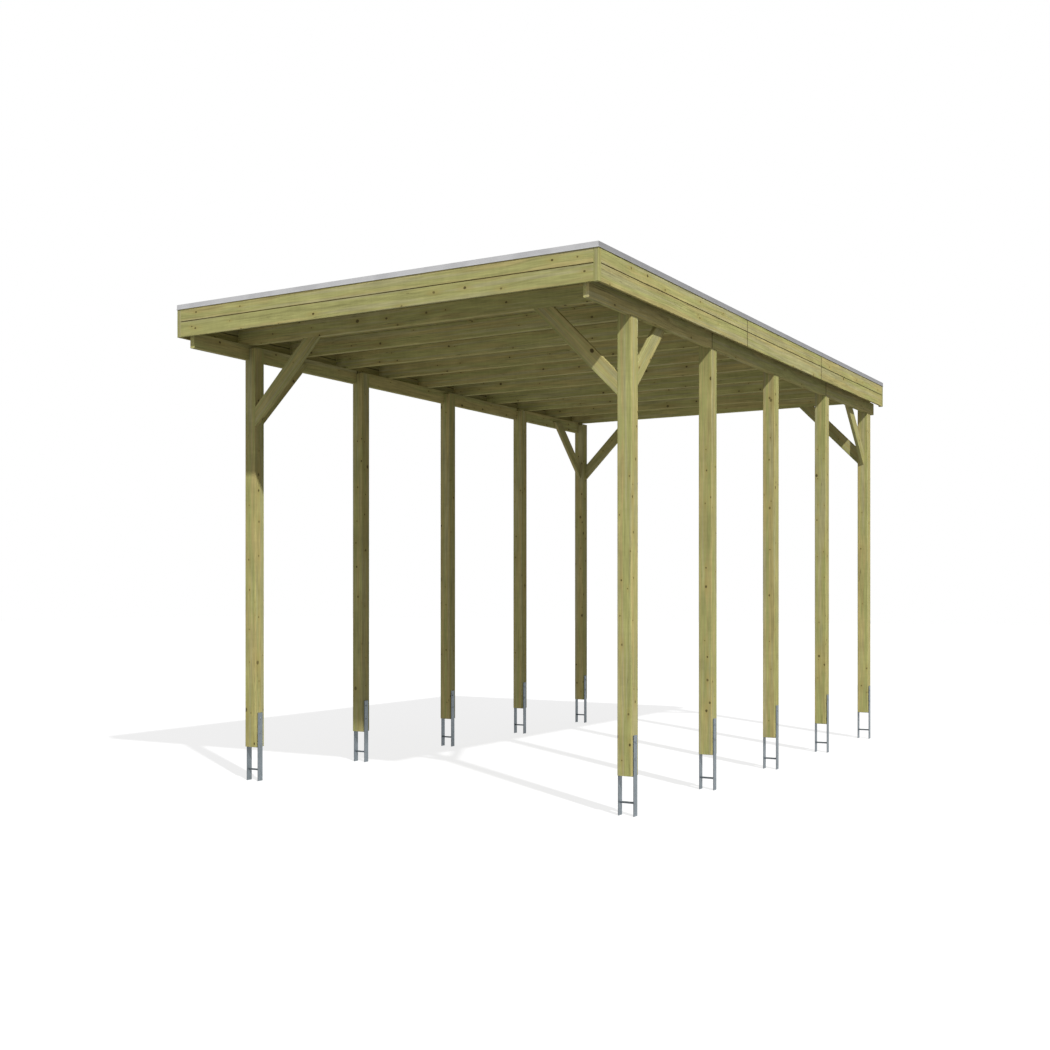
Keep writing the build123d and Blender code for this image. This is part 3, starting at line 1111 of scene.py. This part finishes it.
@dataclass
class Roof:
    """The roof's boards and its covering."""

    workshop: Workshop
    boards: int = 40
    batten: float = 0.040
    groove: float = 0.0035
    gap: float = 0.0006
    joints: Pair = (-0.7458, 1.3109)
    sheet_top: float = 3.997
    laps: int = 5
    lap_pitch: float = 1.180
    lap_size: Triple = (3.880, 0.080, 0.0025)
    lap_bevel: float = 0.0010

    def build(self) -> None:
        """Lays the roof boards in the deck's place, dresses the covering and adds its laps."""
        low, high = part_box("roof_deck")
        inner_low, inner_high = low.x + self.batten, high.x - self.batten
        cover = (inner_high - inner_low) / self.boards
        shape = bmesh.new()
        front, rear = low.y + self.batten, high.y - self.batten
        for side in (low.x, inner_high):
            self.board(shape, Vector((side, front, low.z)), Vector((side + self.batten, rear, high.z)))
        ends = (low.y, *self.joints, high.y)
        for number in range(self.boards):
            left = inner_low + number * cover
            for front, rear in zip(ends, ends[1:]):
                self.board(shape, Vector((left, front, low.z)), Vector((left + cover, rear, high.z)))
        kind = Timber(
            "deck_timber", Grain.LENGTHWISE, origin=(ROOF_CELL, inner_low - CELLS_BEFORE * cover),
            pitch=(WIDE_CELL, cover), joints=self.joints, level=0.97,
        )
        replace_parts(self.workshop.piece("roof_boards", shape, kind, "deck_timber"), "roof_deck")
        self.workshop.dress(["roof_covering"], RubberSheet())
        self.sheet_laps()

    def board(self, shape: Shape, low: Vector, high: Vector) -> None:
        """Adds one board with a small chamfer along its lower edges.

        Args:
            shape: the shape that gets it.
            low: its lowest corner.
            high: its highest corner.
        """
        inset = Vector((self.gap / 2, 0.0, 0.0))

        def runs_below(edge: Edge) -> bool:
            """Tells the two lower edges that run along the board."""
            one, other = (corner.co for corner in edge.verts)
            return max(one.z, other.z) < low.z + TINY and abs(one.x - other.x) < TINY

        bevel(shape, block(shape, low + inset, high - inset), self.groove, runs_below)

    def sheet_laps(self) -> None:
        """Adds the double thickness where one length of the roof sheet lies over the next."""
        shape = bmesh.new()
        half = Vector(self.lap_size) / 2
        for number in range(self.laps):
            y = (number - (self.laps - 1) / 2) * self.lap_pitch
            middle = Vector((0.0, y, self.sheet_top + half.z))
            bevel(shape, block(shape, middle - half, middle + half), self.lap_bevel, above(middle.z))
        kind = RubberSheet("rubbed_membrane", clean=(0.037, 0.037, 0.040), dusty=(0.100, 0.097, 0.089))
        self.workshop.piece("sheet_laps", shape, kind, "roof_membrane")


@dataclass
class RoofEdge:
    """The fascia boards, their corner battens, the metal trim and the screws in the boards."""

    workshop: Workshop
    rafters: Row = RAFTERS
    side_face: float = 1.985
    end_face: float = 3.540
    boards_split: float = 3.9195
    board_pitch: float = 0.1425
    side_joints: Pair = (-0.7345, 1.3045)
    pith_away: Pair = (0.16, 0.10)
    pith_spread: Pair = (0.05, 0.10)
    lower_board_screws: Pair = (3.822, 3.888)
    upper_board_screws: Pair = (3.951, 4.008)
    end_columns: int = 7
    last_end_screw: float = 1.85
    last_side_screw: float = 3.485

    def build(self) -> None:
        """Dresses the roof's edge and adds the fascia screws."""
        sides = Timber(
            "side_fascia_timber", Grain.LENGTHWISE,
            origin=(self.boards_split - CELLS_BEFORE * self.board_pitch, -WIDE_CELL),
            pitch=(self.board_pitch, WIDE_CELL), joints=self.side_joints, seam=self.boards_split,
            pith_away=self.pith_away, pith_spread=self.pith_spread,
        )
        for names, kind in (
            (["left_fascia", "right_fascia"], sides),
            (["front_fascia", "rear_fascia"],
             replace(sides, name="end_fascia_timber", grain=Grain.ACROSS_ON_EDGE, joints=())),
            (["corner_battens"], Timber("batten_timber", Grain.UPRIGHT, yellow=(0.340, 0.322, 0.128), level=0.87)),
            (["upstand_battens"], Timber("upstand_timber", Grain.LENGTHWISE)),
            (["edge_trim"], MillAluminium()),
        ):
            self.workshop.dress(names, kind)
        self.screws()

    def screws(self) -> None:
        """Adds the sunk screws, in pairs a board, at each rafter and across the ends."""
        both = (*self.lower_board_screws, *self.upper_board_screws)
        step = 2 * self.last_end_screw / (self.end_columns - 1)
        columns = [-self.last_end_screw + number * step for number in range(self.end_columns)]
        places = [
            out_of((x, side * self.end_face, z), (0, side, 0))
            for side, heights in ((-1, both), (1, self.upper_board_screws)) for x in columns for z in heights
        ]
        places += [
            out_of((side * self.side_face, y, z), (side, 0, 0))
            for side in (-1, 1) for y in (-self.last_side_screw, *self.rafters.middles(), self.last_side_screw)
            for z in both
        ]
        self.workshop.piece("fascia_screws", repeated(SunkScrew().shape(), places), BROWNED_ZINC, "fascia_timber")


@dataclass
class Studio:
    """The floor, the light and the camera, which aren't part of the carport."""

    floor_half: float = 60.0
    floor_white: float = 0.78
    floor_shade: float = 0.24
    ambient: float = 0.382
    ambient_colour: Colour = (1.0, 0.985, 1.01)
    fill_direction: Triple = (0.0, -0.85, -0.5)
    fill_share: float = 0.68
    shade_below: float = 0.35
    card_direction: Triple = (0.33, 0.92, 0.19)
    card_edge: Pair = (0.30, 0.80)
    card_grey: float = 0.36
    sun_strength: float = 4.05
    sun_angle: float = 1.2
    sun_travel: Triple = (-0.615, 0.430, -0.661)
    sun_distance: float = 10.0
    camera_place: Triple = (6.1435, -11.5680, 1.6439)
    camera_turn: float = 30.577
    sensor_width: float = 36.0
    lens: float = 45.190
    shift: float = 0.06567
    view_depth: float = 300.0

    def build(self) -> None:
        """Sets up the floor, the light, the camera and the view."""
        self.floor()
        self.sky()
        self.sun()
        self.camera()
        bpy.context.scene.view_settings.view_transform = "Standard"
        LOG.info("floor, light and camera are set")

    def floor(self) -> None:
        """Lays the pale floor. It keeps the carport's shadow and throws no light back."""
        shape = bmesh.new()
        bmesh.ops.create_grid(shape, x_segments=2, y_segments=2, size=self.floor_half)
        mesh = bpy.data.meshes.new("floor")
        shape.to_mesh(mesh)
        shape.free()
        floor = placed("floor", mesh)
        floor.visible_diffuse = False
        floor.visible_shadow = False
        material = bpy.data.materials.new("pale_floor")
        material.use_nodes = True
        graph = Graph(material.node_tree)
        glow = graph.add("Emission", None, self.floor_white)
        pale = graph.add("BsdfDiffuse", (self.floor_shade,) * 3)
        both = graph.add("AddShader", glow.outputs[0], pale.outputs[0])
        graph.add("OutputMaterial", both.outputs[0])
        mesh.materials.append(material)

    def sky(self) -> None:
        """Sets the soft light from all round, on a white backdrop.

        Metal mirrors the same white, with a grey card behind and to the right of the carport.
        """
        world = bpy.data.worlds.new("soft_light")
        bpy.context.scene.world = world
        world.use_nodes = True
        graph = Graph(world.node_tree)
        rays = graph.add("LightPath").outputs
        clear = graph.math("MAXIMUM", rays["Is Camera Ray"], rays["Is Transmission Ray"])
        seen = graph.math("MAXIMUM", clear, rays["Is Glossy Ray"])
        direction = graph.add("TexCoord").outputs["Generated"]
        facing = graph.vector("DOT_PRODUCT", direction, tuple(Vector(self.card_direction).normalized()))
        mirrored = graph.ease(facing, *self.card_edge, 1.0, self.card_grey)
        lit = graph.add("Background", self.ambient_colour, self.soft_light(graph, direction))
        backdrop = graph.add("Background", (1.0, 1.0, 1.0), graph.math("MAXIMUM", clear, mirrored))
        choice = graph.add("MixShader", seen, lit.outputs[0], backdrop.outputs[0])
        graph.add("OutputWorld", choice.outputs[0])

    def soft_light(self, graph: Graph, direction: Socket) -> Socket:
        """Gives the soft light's strength: a little more from the pale floor in front, less from right below.

        Args:
            graph: the world's nodes.
            direction: the way to the light.

        Returns:
            The strength.
        """
        front = tuple(Vector(self.fill_direction).normalized())
        fill, below = (
            graph.math("MAXIMUM", graph.vector("DOT_PRODUCT", direction, way), 0.0) for way in (front, (0.0, 0.0, -1.0))
        )
        total = graph.scaled(graph.times(fill, fill), self.fill_share, 1.0)
        total = graph.math("SUBTRACT", total, graph.times(below, below, self.shade_below))
        return graph.times(total, self.ambient)

    def sun(self) -> None:
        """Hangs the main lamp, from the front right."""
        lamp = bpy.data.lights.new("main_lamp", "SUN")
        lamp.energy = self.sun_strength
        lamp.angle = math.radians(self.sun_angle)
        made = placed("main_lamp", lamp)
        travel = Vector(self.sun_travel)
        made.rotation_euler = travel.to_track_quat("-Z", "Y").to_euler()
        made.location = -self.sun_distance * travel

    def camera(self) -> None:
        """Places the camera at the photograph's viewing angle."""
        lens = bpy.data.cameras.new("camera")
        lens.lens = self.lens
        lens.sensor_width = self.sensor_width
        lens.shift_y = self.shift
        lens.clip_end = self.view_depth
        made = placed("camera", lens)
        made.location = self.camera_place
        made.rotation_euler = (math.radians(90.0), 0.0, math.radians(self.camera_turn))
        bpy.context.scene.camera = made


def main() -> None:
    """Builds the looks in order."""
    logging.basicConfig(level=logging.INFO, format="%(name)s: %(message)s")
    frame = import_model()
    workshop = Workshop(frame["nodes"])
    Studio().build()
    TimberFrame(workshop).build()
    Anchors(workshop).build()
    Roof(workshop).build()
    RoofEdge(workshop).build()


if __name__ == "__main__":
    main()
